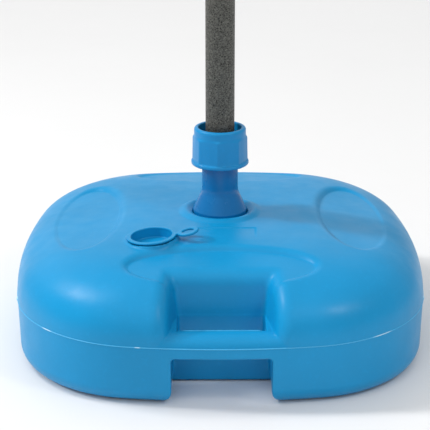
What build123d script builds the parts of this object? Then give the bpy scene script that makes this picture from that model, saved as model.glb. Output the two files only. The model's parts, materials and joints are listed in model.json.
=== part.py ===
"""Tetherball set: a water-filled moulded base, a clamping neck and a three-piece steel pole.

The origin is on the pole's axis at the level of the ground. +Z is up and -Y is the carrying handle's side.
All sizes are in millimetres.
"""

import os
from math import atan2, cos, degrees, radians, sin, sqrt, tan

from build123d import *

os.makedirs("parts", exist_ok=True)

# Base tank: a rounded square with a large soft shoulder
BASE_HALF = 225.0
FOOT_HALF = 223.4
TANK_TOP = 131.5
PARTING_HEIGHT = 65.0
SHOULDER_INSET = 159.0
SHOULDER_EXPONENT = 2.57
SHOULDER_STEPS = 9
BOTTOM_RADIUS = 19.0
BOTTOM_STEPS = 4
WALL = 3.0
FOOT_STEP = 1.8
FOOT_GAP_HALF = 117.0
SIDE_BOW = 2.9
SIDE_BOW_GAIN = 1.12
CORNER_ROUND = 0.645
CORNER_ROUND_LOSS = 0.327
FOOT_BOW = 3.1
FOOT_ROUND = 0.6
PARTING_BEAD = 0.6
PARTING_BEAD_HEIGHT = 1.1

# Four shallow oval recesses in the top
RECESS_DISTANCE = 147.5
RECESS_LENGTH_HALF = 96.0
RECESS_WIDTH_HALF = 34.5
RECESS_FLOOR = 121.1
RECESS_TILT = 7.3
RECESS_FLARE = 19.0
RECESS_FLARE_HEIGHT = 16.0

# Carrying handle: a grip bar with a pocket above and behind it and a notch below it
GRIP_TOP = 76.0
GRIP_BOTTOM = 53.0
GRIP_BACK = -203.0
HANDLE_WALL = -164.0
HANDLE_DRAFT = 7.0
POCKET_BACK_HALF = 44.8
POCKET_FRONT_HALF = 68.0
POCKET_SIDE_DRAFT = 9.0
POCKET_CORNER = 7.0
NOTCH_HALF = 50.5
NOTCH_CORNER = 4.0
NOTCH_FLARE = 12.0

# Blank panel moulded into the top
PANEL_HALF = 38.7
PANEL_BACK = -56.0
PANEL_FRONT = -90.0
PANEL_DEPTH = 0.8
PANEL_TILT = 1.4

# Centre column of the tank
COLUMN_BORE = 21.0
COUNTERBORE = 31.6
COUNTERBORE_FLOOR = 124.0
NUT_RECESS = 40.0
NUT_RECESS_CEILING = 24.0
COLLAR_RING_RADIUS = 45.0
COLLAR_RING_HEIGHT = 2.6
COLLAR_RING_LIP = 2.0
COLLAR_RING_FOOT = 48.0

# Fill hole and its hollow plug
PLUG_X = -73.3
PLUG_Y = -90.2
PLUG_RIM_TOP = 135.9
PLUG_TILT = 4.5
FILL_HOLE = 24.6
PLUG_RIM = 26.6
PLUG_INSIDE = 22.1
PLUG_SKIRT = 23.7
PLUG_RIM_THICK = 2.2
PLUG_DEPTH = 13.0
PLUG_FLOOR = 1.8
PLUG_SEAT = 27.4
PLUG_SEAT_GAP = 0.9
PLUG_SEAT_DEPTH = 7.0
PULL_RING = 11.5
PULL_RING_HOLE = 6.3
PULL_RING_THICK = 2.8
PULL_RING_REACH = 39.0
PULL_RING_LIFT = 8.0
PULL_STRAP_WIDTH = 7.0

# Pole: three lengths of 31.8 mm steel tube, each swaged at its top to enter the next one
TUBE_RADIUS = 15.9
TUBE_WALL = 1.2
SWAGE_RADIUS = 14.62
SWAGE_LENGTH = 60.0
SWAGE_CHAMFER = 1.0
SWAGE_NECK = 3.0
JOINT_GAP = 0.3
POLE_FOOT = 20.3
FOOT_CAP_RIM = 2.0
FOOT_CAP_PLUG = 12.0
LOWER_TOP = 590.0
MIDDLE_TOP = 1140.0
UPPER_TOP = 1690.0

# Neck socket that stands in the tank's centre column
NECK_RADIUS = 20.0
NECK_BORE = 16.2
NECK_BOTTOM = 4.0
NECK_STOP = 20.0
NECK_DRAIN = 10.0
FLANGE_RADIUS = 30.0
FLANGE_BOTTOM = 126.6
FLANGE_TOP = 134.6
CONE_TOP = 155.0
THREAD_BOTTOM = 188.5
THREAD_TOP = 202.0
THREAD_RADIUS = 23.4
THREAD_LEAD_IN = 1.5
COLLET_SEAT_BOTTOM = 192.0
COLLET_SEAT = 19.9
SEAL_TOP_INNER = 21.5
SEAL_TOP_OUTER = 31.2
SEAL_BOTTOM_OUTER = 35.0
SEAL_BOTTOM_THICK = 2.5
THREAD_CLEARANCE = 0.05
NUT_BOTTOM = 7.0
NUT_FLANGE = 35.0
NUT_FLANGE_THICK = 3.0
NUT_HUB = 27.0
NUT_LUGS = 6
NUT_LUG_LENGTH = 9.0
NUT_LUG_WIDTH = 6.0

# Split collet and thrust ring inside the locking collar
COLLET_SKIRT = 19.6
COLLET_BORE = 16.2
COLLET_HEAD_RADIUS = 22.6
COLLET_TIP_RADIUS = 19.4
COLLET_TOP = 212.0
COLLET_SLOTS = 6
COLLET_SLOT_WIDTH = 1.6
COLLET_SLOT_BOTTOM = 197.0
THRUST_RING_THICK = 1.2
THRUST_RING_INNER = 16.6

# Locking collar: threaded below, tapered above the thread, with an open cup round the pole
COLLAR_BOTTOM = 187.4
COLLAR_TOP = 229.2
COLLAR_THREAD = 23.5
COLLAR_THROAT = 17.6
COLLAR_THROAT_TOP = 215.5
COLLAR_MOUTH = 23.6
COLLAR_TAPER_GAP = 0.4
COLLAR_MOUTH_CHAMFER = 1.2
COLLAR_BODY = 28.6
COLLAR_LIP_ROUND = 2.2
COLLAR_FACETS = 8
COLLAR_FACET_TURN = -4.0
COLLAR_FACET_TOP = 219.0
COLLAR_FACET_RADIUS = 30.6
COLLAR_FACET_FOOT_RADIUS = 31.4
COLLAR_FACET_CORNER = 2.0
COLLAR_RIM = 31.8
COLLAR_RIM_THICK = 4.0
COLLAR_RIM_ROUND = 1.2

# Top cap, swivel and cord eye
CAP_PLUG = 14.65
CAP_PLUG_DEPTH = 18.0
CAP_PLUG_INSIDE = 11.5
CAP_WEB = 5.0
CAP_FLANGE = 17.2
CAP_FLANGE_THICK = 5.0
CAP_BOSS = 9.0
CAP_BOSS_HEIGHT = 4.0
CAP_EDGE = 1.5
BOLT_RADIUS = 3.0
BOLT_CLEARANCE = 0.05
BOLT_HEAD = 6.5
BOLT_HEAD_HEIGHT = 4.0
BOLT_TAIL = 9.0
WASHER_RADIUS = 8.0
WASHER_THICK = 1.5
SWIVEL_GAP = 0.3
HUB_RADIUS = 9.0
HUB_HEIGHT = 9.0
EYE_REACH = 28.0
EYE_RADIUS = 10.5
EYE_HOLE = 5.0
EYE_THICK = 6.0
NUT_ACROSS = 10.0
NUT_HEIGHT = 6.0
SCREW_RADIUS = 1.5
SCREW_CLEARANCE = 0.06
SCREW_LENGTH = 8.0
SCREW_HEAD = 3.4
SCREW_HEAD_HEIGHT = 1.8
SCREW_DROP = 9.0

BIG = 300.0
OVERLAP = 1.0


def rounded_square(height, half_width, bow, rounding):
    """Rounded square of eight tangent arcs, whose radii are shares of its half width, at a height."""
    side_radius = half_width * bow
    corner_radius = half_width * rounding
    side_centre = half_width - side_radius
    spread = side_radius - corner_radius
    corner_centre = (side_centre + sqrt(2 * spread**2 - side_centre**2)) / 2
    side_angle = degrees(atan2(corner_centre, corner_centre - side_centre))
    with BuildSketch(Plane.XY.offset(height)) as outline:
        with BuildLine():
            for turn in (0, 90, 180, 270):
                side = Vector(side_centre, 0).rotate(Axis.Z, turn)
                corner = Vector(corner_centre, corner_centre).rotate(Axis.Z, turn)
                CenterArc(side, side_radius, turn - side_angle, 2 * side_angle)
                CenterArc(corner, corner_radius, turn + side_angle, 90 - 2 * side_angle)
        make_face()
    return outline.sketch


def bottom_levels(wall, floor):
    """Height, half width, bow and rounding of each level round the bottom edge, set in by a wall."""
    levels = []
    radius = BOTTOM_RADIUS - wall
    for step in range(BOTTOM_STEPS + 1):
        angle = radians(90 - 90 * step / BOTTOM_STEPS)
        height = floor + radius * (1 - sin(angle))
        half_width = FOOT_HALF - wall - radius * (1 - cos(angle))
        levels.append((height, half_width, FOOT_BOW, FOOT_ROUND))
    return levels


def shoulder_levels(wall):
    """Height, half width, bow and rounding of each level of the shoulder, set in by a wall."""
    levels = []
    rise = TANK_TOP - wall - PARTING_HEIGHT
    for step in range(SHOULDER_STEPS + 1):
        angle = radians(90 * step / SHOULDER_STEPS)
        across = max(cos(angle), 0)
        reach = (across**SHOULDER_EXPONENT + sin(angle) ** SHOULDER_EXPONENT) ** (-1 / SHOULDER_EXPONENT)
        inset = 1 - reach * across
        height = PARTING_HEIGHT + rise * reach * sin(angle)
        half_width = BASE_HALF - wall - SHOULDER_INSET * inset
        bow = SIDE_BOW + SIDE_BOW_GAIN * inset
        levels.append((height, half_width, bow, CORNER_ROUND - CORNER_ROUND_LOSS * inset))
    return levels


def tank_form(wall, floor):
    """Solid form of the tank, set in by a wall all round."""
    bottom = bottom_levels(wall, floor)
    shoulder = shoulder_levels(wall)
    with BuildPart() as form:
        for levels in (bottom, [bottom[-1], shoulder[0]], shoulder):
            for level in levels:
                add(rounded_square(*level))
            loft()
    return form.part


def recess_form(wall):
    """The space over the four oval recesses, grown by a wall."""
    with BuildPart() as form:
        for turn in (0, 90, 180, 270):
            outward = Vector(1, 0, 0).rotate(Axis.Z, turn)
            along = Vector(0, 1, 0).rotate(Axis.Z, turn)
            normal = outward * sin(radians(RECESS_TILT)) + Vector(0, 0, cos(radians(RECESS_TILT)))
            origin = outward * RECESS_DISTANCE + Vector(0, 0, RECESS_FLOOR)
            floor = Plane(origin=origin, x_dir=along, z_dir=normal).offset(-wall)
            with BuildSketch(floor):
                Ellipse(RECESS_LENGTH_HALF + wall, RECESS_WIDTH_HALF + wall)
            with BuildSketch(floor.offset(RECESS_FLARE_HEIGHT)):
                Ellipse(RECESS_LENGTH_HALF + wall + RECESS_FLARE, RECESS_WIDTH_HALF + wall + RECESS_FLARE)
            loft()
    return form.part


def handle_form(wall):
    """The space round the grip bar, grown by a wall."""
    with BuildPart() as form:
        for height in (GRIP_TOP - wall, TANK_TOP + wall):
            back = HANDLE_WALL + (height - GRIP_TOP) * tan(radians(HANDLE_DRAFT)) + wall
            side_lean = (height - GRIP_TOP) * tan(radians(POCKET_SIDE_DRAFT))
            half = POCKET_BACK_HALF + side_lean + wall
            front_half = POCKET_FRONT_HALF + side_lean + wall
            with BuildSketch(Plane.XY.offset(height)) as outline:
                with BuildLine():
                    Polyline((-half, back), (half, back), (front_half, -BIG), (-front_half, -BIG), close=True)
                make_face()
                fillet(outline.vertices().group_by(Axis.Y)[-1], POCKET_CORNER + wall)
        loft()
        with BuildSketch(Plane.XY.offset(GRIP_BOTTOM - 2 * wall)) as shaft:
            with Locations((0, (HANDLE_WALL + GRIP_BACK) / 2)):
                Rectangle(2 * (POCKET_BACK_HALF + wall), HANDLE_WALL - GRIP_BACK + 2 * wall)
            fillet(shaft.vertices(), POCKET_CORNER + wall)
        extrude(amount=GRIP_TOP - GRIP_BOTTOM + 4 * wall + OVERLAP)
        with BuildSketch(Plane.XZ.offset(-HANDLE_WALL - wall)) as notch:
            with Locations((0, (GRIP_BOTTOM + wall) / 2 - BOTTOM_RADIUS / 2)):
                Rectangle(2 * (NOTCH_HALF + wall), GRIP_BOTTOM + wall + BOTTOM_RADIUS)
            fillet(notch.vertices().group_by(Axis.Y)[-1], NOTCH_CORNER + wall)
            with Locations((0, -BOTTOM_RADIUS / 2)):
                Rectangle(4 * NOTCH_HALF, BOTTOM_RADIUS)
            at_ground = notch.vertices().group_by(Axis.Y)[1]
            fillet(at_ground.sort_by(Axis.X)[1:3], NOTCH_FLARE)
        extrude(amount=BIG + HANDLE_WALL)
    return form.part


def column_form(wall):
    """The space of the centre column, its counterbore and the nut recess, grown by a wall."""
    with BuildPart() as form:
        with BuildSketch(Plane.XZ):
            with BuildLine():
                Polyline(
                    (0, -BOTTOM_RADIUS),
                    (NUT_RECESS + wall, -BOTTOM_RADIUS),
                    (NUT_RECESS + wall, NUT_RECESS_CEILING + wall),
                    (COLUMN_BORE + wall, NUT_RECESS_CEILING + wall),
                    (COLUMN_BORE + wall, COUNTERBORE_FLOOR - wall),
                    (COUNTERBORE + wall, COUNTERBORE_FLOOR - wall),
                    (COUNTERBORE + wall, TANK_TOP + BOTTOM_RADIUS),
                    (0, TANK_TOP + BOTTOM_RADIUS),
                    close=True,
                )
            make_face()
        revolve(axis=Axis.Z)
    return form.part


def ring(bottom, top, outer, inner):
    """Plain round ring on the pole's axis."""
    with BuildPart() as plain_ring:
        with BuildSketch(Plane.XY.offset(bottom)):
            Circle(outer)
            Circle(inner, mode=Mode.SUBTRACT)
        extrude(amount=top - bottom)
    return plain_ring.part


def leaning_plane(origin, lean):
    """Plane whose normal leans from +Z towards -X."""
    angle = radians(lean)
    return Plane(origin=origin, x_dir=(cos(angle), 0, sin(angle)), z_dir=(-sin(angle), 0, cos(angle)))


def save(part, name):
    """Name a finished piece and write its file."""
    part.label = name
    export_step(part, f"parts/{name}.step")


# ---- Base ----

rim_plane = leaning_plane((PLUG_X, PLUG_Y, PLUG_RIM_TOP), PLUG_TILT)

with BuildPart() as tank_cavity:
    add(tank_form(WALL, WALL + FOOT_STEP))
    add(recess_form(WALL), mode=Mode.SUBTRACT)
    add(handle_form(WALL), mode=Mode.SUBTRACT)
    add(column_form(WALL), mode=Mode.SUBTRACT)

with BuildPart() as tank_shell:
    add(tank_form(0, 0))
    bead_bottom = PARTING_HEIGHT - PARTING_BEAD_HEIGHT / 2
    add(rounded_square(bead_bottom, BASE_HALF + PARTING_BEAD, SIDE_BOW, CORNER_ROUND))
    extrude(amount=PARTING_BEAD_HEIGHT)
    with BuildSketch(Plane.XZ):
        with BuildLine():
            foot = (COLLAR_RING_FOOT, TANK_TOP - OVERLAP)
            crown = ((COLLAR_RING_RADIUS + COUNTERBORE) / 2, TANK_TOP + COLLAR_RING_HEIGHT)
            lip = (COUNTERBORE - OVERLAP, TANK_TOP + COLLAR_RING_LIP)
            Spline(foot, crown, lip)
            Polyline(lip, (COUNTERBORE - OVERLAP, TANK_TOP - OVERLAP), foot)
        make_face()
    revolve(axis=Axis.Z)
    add(recess_form(0), mode=Mode.SUBTRACT)
    add(handle_form(0), mode=Mode.SUBTRACT)
    add(column_form(0), mode=Mode.SUBTRACT)
    for turn in (0, 90):
        with BuildSketch(Plane.XY.offset(-OVERLAP)):
            Rectangle(2 * FOOT_GAP_HALF, 2 * BIG, rotation=turn)
        extrude(amount=FOOT_STEP + OVERLAP, mode=Mode.SUBTRACT)
    panel_normal = (0, sin(radians(PANEL_TILT)), cos(radians(PANEL_TILT)))
    with BuildSketch(Plane((0, PANEL_BACK, TANK_TOP - PANEL_DEPTH), x_dir=(1, 0, 0), z_dir=panel_normal)):
        with Locations((0, (PANEL_FRONT - PANEL_BACK) / 2)):
            Rectangle(2 * PANEL_HALF, PANEL_BACK - PANEL_FRONT)
    extrude(amount=BOTTOM_RADIUS, mode=Mode.SUBTRACT)
    with BuildSketch(rim_plane.offset(-PLUG_RIM_THICK - PLUG_SEAT_GAP)):
        Circle(PLUG_SEAT)
    extrude(amount=-PLUG_SEAT_DEPTH)
    add(tank_cavity.part, mode=Mode.SUBTRACT)
    with BuildSketch(rim_plane):
        Circle(FILL_HOLE)
    extrude(amount=-BOTTOM_RADIUS, mode=Mode.SUBTRACT)
save(tank_shell.part, "tank_shell")

strap_root = rim_plane.from_local_coords((PLUG_RIM - OVERLAP, 0, 0))
ring_plane = leaning_plane(strap_root, PLUG_TILT + PULL_RING_LIFT)
ring_reach = PULL_RING_REACH - PLUG_RIM

with BuildPart() as fill_plug:
    with BuildSketch(rim_plane):
        Circle(PLUG_RIM)
    extrude(amount=-PLUG_RIM_THICK)
    with BuildSketch(rim_plane):
        Circle(PLUG_SKIRT)
    extrude(amount=-PLUG_DEPTH)
    fillet(fill_plug.edges().filter_by(GeomType.CIRCLE).sort_by(Axis.Z)[0], PLUG_FLOOR)
    with BuildSketch(ring_plane.offset(-PULL_RING_THICK)):
        with Locations((ring_reach + OVERLAP, 0)):
            Circle(PULL_RING)
        with Locations((ring_reach / 2, 0)):
            Rectangle(ring_reach, PULL_STRAP_WIDTH)
    extrude(amount=PULL_RING_THICK)
    with BuildSketch(ring_plane.offset(-2 * PULL_RING_THICK)):
        with Locations((ring_reach + OVERLAP, 0)):
            Circle(PULL_RING_HOLE)
    extrude(amount=4 * PULL_RING_THICK, mode=Mode.SUBTRACT)
    with BuildSketch(rim_plane.offset(PLUG_RIM_THICK)):
        Circle(PLUG_INSIDE)
    extrude(amount=-(PLUG_RIM_THICK + PLUG_DEPTH - PLUG_FLOOR), mode=Mode.SUBTRACT)
save(fill_plug.part, "fill_plug")

with BuildPart() as neck_socket:
    with BuildSketch(Plane.XZ):
        with BuildLine():
            Polyline(
                (NECK_DRAIN, NECK_BOTTOM),
                (NECK_RADIUS, NECK_BOTTOM),
                (NECK_RADIUS, FLANGE_BOTTOM),
                (FLANGE_RADIUS, FLANGE_BOTTOM),
                (FLANGE_RADIUS, FLANGE_TOP),
                (NECK_RADIUS, CONE_TOP),
                (NECK_RADIUS, THREAD_BOTTOM),
                (THREAD_RADIUS, THREAD_BOTTOM),
                (THREAD_RADIUS, THREAD_TOP - THREAD_LEAD_IN),
                (THREAD_RADIUS - THREAD_LEAD_IN, THREAD_TOP),
                (COLLET_SEAT, THREAD_TOP),
                (COLLET_SEAT, COLLET_SEAT_BOTTOM),
                (NECK_BORE, COLLET_SEAT_BOTTOM),
                (NECK_BORE, NECK_STOP),
                (NECK_DRAIN, NECK_STOP),
                close=True,
            )
        make_face()
    revolve(axis=Axis.Z)
    circles = neck_socket.edges().filter_by(GeomType.CIRCLE)
    fillet(circles.sort_by(lambda edge: abs(edge.center().Z - CONE_TOP))[0], NECK_RADIUS)
save(neck_socket.part, "neck_socket")

save(ring(COUNTERBORE_FLOOR, FLANGE_BOTTOM, SEAL_TOP_OUTER, SEAL_TOP_INNER), "neck_top_seal")

seal_bottom = NUT_RECESS_CEILING - SEAL_BOTTOM_THICK
nut_bore = NECK_RADIUS + THREAD_CLEARANCE
save(ring(seal_bottom, NUT_RECESS_CEILING, SEAL_BOTTOM_OUTER, nut_bore), "neck_bottom_seal")

with BuildPart() as neck_lock_nut:
    add(ring(seal_bottom - NUT_FLANGE_THICK, seal_bottom, NUT_FLANGE, nut_bore))
    add(ring(NUT_BOTTOM, seal_bottom - NUT_FLANGE_THICK, NUT_HUB, nut_bore))
    with BuildSketch(Plane.XY.offset(NUT_BOTTOM)):
        with PolarLocations(NUT_HUB + NUT_LUG_LENGTH / 2 - OVERLAP, NUT_LUGS):
            Rectangle(NUT_LUG_LENGTH, NUT_LUG_WIDTH)
    extrude(amount=seal_bottom - NUT_BOTTOM)
save(neck_lock_nut.part, "neck_lock_nut")

# ---- Clamp ----

collet_foot = COLLET_SEAT_BOTTOM + JOINT_GAP
head_bottom = THREAD_TOP + JOINT_GAP

with BuildPart() as grip_collet:
    with BuildSketch(Plane.XZ):
        with BuildLine():
            Polyline(
                (COLLET_BORE, collet_foot),
                (COLLET_SKIRT, collet_foot),
                (COLLET_SKIRT, head_bottom),
                (COLLET_HEAD_RADIUS, head_bottom),
                (COLLET_TIP_RADIUS, COLLET_TOP),
                (COLLET_BORE, COLLET_TOP),
                close=True,
            )
        make_face()
    revolve(axis=Axis.Z)
    with BuildSketch(Plane.XY.offset(COLLET_SLOT_BOTTOM)):
        with PolarLocations(NECK_RADIUS, COLLET_SLOTS):
            Rectangle(NECK_RADIUS, COLLET_SLOT_WIDTH)
    extrude(amount=COLLET_TOP, mode=Mode.SUBTRACT)
save(grip_collet.part, "grip_collet")

thrust_top = COLLET_TOP + THRUST_RING_THICK
save(ring(COLLET_TOP, thrust_top, COLLET_TIP_RADIUS, THRUST_RING_INNER), "thrust_ring")

with BuildPart() as locking_collar:
    with BuildSketch(Plane.XY.offset(COLLAR_BOTTOM + COLLAR_RIM_THICK / 2)) as facets_foot:
        RegularPolygon(COLLAR_FACET_FOOT_RADIUS, COLLAR_FACETS, rotation=COLLAR_FACET_TURN)
        fillet(facets_foot.vertices(), COLLAR_FACET_CORNER)
    with BuildSketch(Plane.XY.offset(COLLAR_FACET_TOP)) as facets_top:
        RegularPolygon(COLLAR_FACET_RADIUS, COLLAR_FACETS, rotation=COLLAR_FACET_TURN)
        fillet(facets_top.vertices(), COLLAR_FACET_CORNER)
    loft()
    with BuildSketch(Plane.XZ) as rim_section:
        with Locations((COLLAR_RIM / 2, COLLAR_BOTTOM + COLLAR_RIM_THICK / 2)):
            Rectangle(COLLAR_RIM, COLLAR_RIM_THICK)
        fillet(rim_section.vertices().group_by(Axis.X)[-1], COLLAR_RIM_ROUND)
    revolve(axis=Axis.Z)
    with BuildSketch(Plane.XZ) as body_section:
        with Locations((COLLAR_BODY / 2, (COLLAR_BOTTOM + COLLAR_TOP) / 2)):
            Rectangle(COLLAR_BODY, COLLAR_TOP - COLLAR_BOTTOM)
        fillet(body_section.vertices().group_by(Axis.X)[-1].sort_by(Axis.Y)[-1], COLLAR_LIP_ROUND)
    revolve(axis=Axis.Z)
    with BuildSketch(Plane.XZ):
        with BuildLine():
            Polyline(
                (0, COLLAR_BOTTOM - OVERLAP),
                (COLLAR_THREAD, COLLAR_BOTTOM - OVERLAP),
                (COLLAR_THREAD, head_bottom),
                (COLLET_HEAD_RADIUS + COLLAR_TAPER_GAP, head_bottom),
                (COLLET_TIP_RADIUS + COLLAR_TAPER_GAP, COLLET_TOP),
                (COLLET_TIP_RADIUS + COLLAR_TAPER_GAP, thrust_top + JOINT_GAP),
                (COLLAR_THROAT, thrust_top + JOINT_GAP),
                (COLLAR_THROAT, COLLAR_THROAT_TOP),
                (COLLAR_MOUTH, COLLAR_THROAT_TOP),
                (COLLAR_MOUTH, COLLAR_TOP - COLLAR_MOUTH_CHAMFER),
                (COLLAR_MOUTH + COLLAR_MOUTH_CHAMFER + OVERLAP, COLLAR_TOP + OVERLAP),
                (0, COLLAR_TOP + OVERLAP),
                close=True,
            )
        make_face()
    revolve(axis=Axis.Z, mode=Mode.SUBTRACT)
save(locking_collar.part, "locking_collar")

# ---- Pole ----


def pole_section(bottom, top, socketed):
    """Steel tube from bottom to top, swaged above its top if another tube stands on it."""
    inner = TUBE_RADIUS - TUBE_WALL
    with BuildPart() as tube:
        add(ring(bottom, top, TUBE_RADIUS, inner))
        if socketed:
            neck_top = top + SWAGE_LENGTH
            swage_inner = SWAGE_RADIUS - TUBE_WALL
            with BuildSketch(Plane.XZ):
                with BuildLine():
                    Polyline(
                        (swage_inner, top - SWAGE_NECK),
                        (inner, top - SWAGE_NECK),
                        (inner, top),
                        (SWAGE_RADIUS, top),
                        (SWAGE_RADIUS, neck_top - SWAGE_CHAMFER),
                        (SWAGE_RADIUS - SWAGE_CHAMFER, neck_top),
                        (swage_inner, neck_top),
                        close=True,
                    )
                make_face()
            revolve(axis=Axis.Z)
    return tube.part


with BuildPart() as pole_foot_cap:
    foot_rim_top = POLE_FOOT + FOOT_CAP_RIM
    add(ring(POLE_FOOT, foot_rim_top, TUBE_RADIUS, NECK_DRAIN / 2))
    add(ring(foot_rim_top, foot_rim_top + FOOT_CAP_PLUG, CAP_PLUG, CAP_PLUG_INSIDE))
save(pole_foot_cap.part, "pole_foot_cap")

save(pole_section(foot_rim_top, LOWER_TOP, True), "pole_lower")
save(pole_section(LOWER_TOP + JOINT_GAP, MIDDLE_TOP, True), "pole_middle")

screw_height = UPPER_TOP - SCREW_DROP
screw_plane = Plane(origin=(0, 0, screw_height), x_dir=(0, 1, 0), z_dir=(1, 0, 0))

with BuildPart() as pole_upper:
    add(pole_section(MIDDLE_TOP + JOINT_GAP, UPPER_TOP, False))
    with BuildSketch(screw_plane):
        Circle(SCREW_RADIUS + SCREW_CLEARANCE)
    extrude(amount=TUBE_RADIUS + OVERLAP, both=True, mode=Mode.SUBTRACT)
save(pole_upper.part, "pole_upper")

cap_top = UPPER_TOP + CAP_FLANGE_THICK
boss_top = cap_top + CAP_BOSS_HEIGHT
web_bottom = cap_top - CAP_WEB
washer_hole = BOLT_RADIUS + BOLT_CLEARANCE

with BuildPart() as pole_top_cap:
    with BuildSketch(Plane.XZ):
        with BuildLine():
            Polyline(
                (washer_hole, web_bottom),
                (CAP_PLUG_INSIDE, web_bottom),
                (CAP_PLUG_INSIDE, UPPER_TOP - CAP_PLUG_DEPTH),
                (CAP_PLUG, UPPER_TOP - CAP_PLUG_DEPTH),
                (CAP_PLUG, UPPER_TOP),
                (CAP_FLANGE, UPPER_TOP),
                (CAP_FLANGE, cap_top - CAP_EDGE),
                (CAP_FLANGE - CAP_EDGE, cap_top),
                (CAP_BOSS, boss_top),
                (washer_hole, boss_top),
                close=True,
            )
        make_face()
    revolve(axis=Axis.Z)
    with BuildSketch(screw_plane):
        Circle(SCREW_RADIUS + SCREW_CLEARANCE)
    extrude(amount=TUBE_RADIUS, both=True, mode=Mode.SUBTRACT)
save(pole_top_cap.part, "pole_top_cap")

with BuildPart() as cap_screws:
    for side in (1, -1):
        seat = Plane(origin=(side * TUBE_RADIUS, 0, screw_height), x_dir=(0, 1, 0), z_dir=(side, 0, 0))
        with BuildSketch(seat):
            Circle(SCREW_HEAD)
        head = extrude(amount=SCREW_HEAD_HEIGHT)
        outer_edge = head.edges().filter_by(GeomType.CIRCLE).sort_by(Axis((0, 0, 0), (side, 0, 0)))[-1]
        fillet(outer_edge, SCREW_HEAD_HEIGHT / 2)
        with BuildSketch(seat):
            Circle(SCREW_RADIUS)
        extrude(amount=-SCREW_LENGTH)
save(cap_screws.part, "cap_screws")

# ---- Swivel ----

lower_washer_top = boss_top + WASHER_THICK
hub_bottom = lower_washer_top + SWIVEL_GAP
hub_top = hub_bottom + HUB_HEIGHT
upper_washer_bottom = hub_top + SWIVEL_GAP
bolt_head_bottom = upper_washer_bottom + WASHER_THICK

save(ring(boss_top, lower_washer_top, WASHER_RADIUS, washer_hole), "swivel_lower_washer")
save(ring(upper_washer_bottom, bolt_head_bottom, WASHER_RADIUS, washer_hole), "swivel_upper_washer")

with BuildPart() as swivel_bolt:
    with BuildSketch(Plane.XY.offset(web_bottom - BOLT_TAIL)):
        Circle(BOLT_RADIUS)
    extrude(amount=bolt_head_bottom - web_bottom + BOLT_TAIL)
    with BuildSketch(Plane.XY.offset(bolt_head_bottom)):
        Circle(BOLT_HEAD)
    extrude(amount=BOLT_HEAD_HEIGHT)
    fillet(swivel_bolt.edges().filter_by(GeomType.CIRCLE).sort_by(Axis.Z)[-1], BOLT_HEAD_HEIGHT / 2)
save(swivel_bolt.part, "swivel_bolt")

with BuildPart() as swivel_lock_nut:
    with BuildSketch(Plane.XY.offset(web_bottom - NUT_HEIGHT)):
        RegularPolygon(NUT_ACROSS / 2, 6, major_radius=False)
        Circle(washer_hole, mode=Mode.SUBTRACT)
    extrude(amount=NUT_HEIGHT)
save(swivel_lock_nut.part, "swivel_lock_nut")

eye_bottom = hub_bottom + (HUB_HEIGHT - EYE_THICK) / 2

with BuildPart() as swivel_eye:
    with BuildSketch(Plane.XY.offset(eye_bottom)):
        with Locations((EYE_REACH, 0)):
            Circle(EYE_RADIUS)
        with Locations((EYE_REACH / 2, 0)):
            Rectangle(EYE_REACH, HUB_RADIUS)
    extrude(amount=EYE_THICK)
    with BuildSketch(Plane.XY.offset(hub_bottom)):
        Circle(HUB_RADIUS)
    extrude(amount=HUB_HEIGHT)
    with BuildSketch(Plane.XY.offset(hub_bottom)):
        Circle(washer_hole)
        with Locations((EYE_REACH, 0)):
            Circle(EYE_HOLE)
    extrude(amount=HUB_HEIGHT, mode=Mode.SUBTRACT)
save(swivel_eye.part, "swivel_eye")
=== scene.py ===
"""Looks of the tetherball set: meshes, materials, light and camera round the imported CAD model.

Shape functions work in millimetres, in the frame's axes, and give the distance to a surface: negative inside
the material. Meshes are scaled to metres when they are made.
"""

import json
import math

import bpy
import numpy as np
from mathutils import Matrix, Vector


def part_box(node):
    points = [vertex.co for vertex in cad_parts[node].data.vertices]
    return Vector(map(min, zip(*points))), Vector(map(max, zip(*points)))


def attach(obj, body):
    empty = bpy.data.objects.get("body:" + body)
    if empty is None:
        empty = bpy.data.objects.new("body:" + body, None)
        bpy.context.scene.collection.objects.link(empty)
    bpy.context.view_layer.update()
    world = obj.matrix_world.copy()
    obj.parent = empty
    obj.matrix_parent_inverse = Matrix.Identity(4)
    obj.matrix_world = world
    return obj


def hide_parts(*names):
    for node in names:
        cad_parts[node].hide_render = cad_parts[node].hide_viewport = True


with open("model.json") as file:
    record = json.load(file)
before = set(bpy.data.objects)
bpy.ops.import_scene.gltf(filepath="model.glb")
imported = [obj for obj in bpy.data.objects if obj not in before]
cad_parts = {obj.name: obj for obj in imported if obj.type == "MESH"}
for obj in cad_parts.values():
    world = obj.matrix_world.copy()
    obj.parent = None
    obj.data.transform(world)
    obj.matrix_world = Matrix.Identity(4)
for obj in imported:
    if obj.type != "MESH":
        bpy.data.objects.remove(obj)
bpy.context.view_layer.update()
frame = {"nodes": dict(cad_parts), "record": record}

MM = 0.001
TINY = 1e-6


def box_mm(node):
    """Lowest and highest corner of a CAD node in millimetres."""
    low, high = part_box(node)
    return np.array(low) / MM, np.array(high) / MM


# ---- Sizes, in millimetres ----

PARTING_BEAD = 0.6
BASE_HALF = box_mm("tank_shell")[1][0] - PARTING_BEAD
FOOT_HALF = BASE_HALF - 1.6
COUNTERBORE_FLOOR = box_mm("neck_top_seal")[0][2]
TANK_TOP = COUNTERBORE_FLOOR + 7.5
PARTING_HEIGHT = 65.0
SHOULDER_RISE = TANK_TOP - PARTING_HEIGHT
SHOULDER_INSET = 159.0
SHOULDER_POWER = 2.57
SIDE_BOW = 2.9
SIDE_BOW_GAIN = 1.12
CORNER_ROUND = 0.645
CORNER_ROUND_LOSS = 0.327
FOOT_BOW = 3.1
FOOT_ROUND = 0.6
INSET_ROUNDS = 12
BOTTOM_RADIUS = 19.0
WALL = 3.0
FOOT_STEP = 1.8
FOOT_GAP_HALF = 117.0

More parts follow.
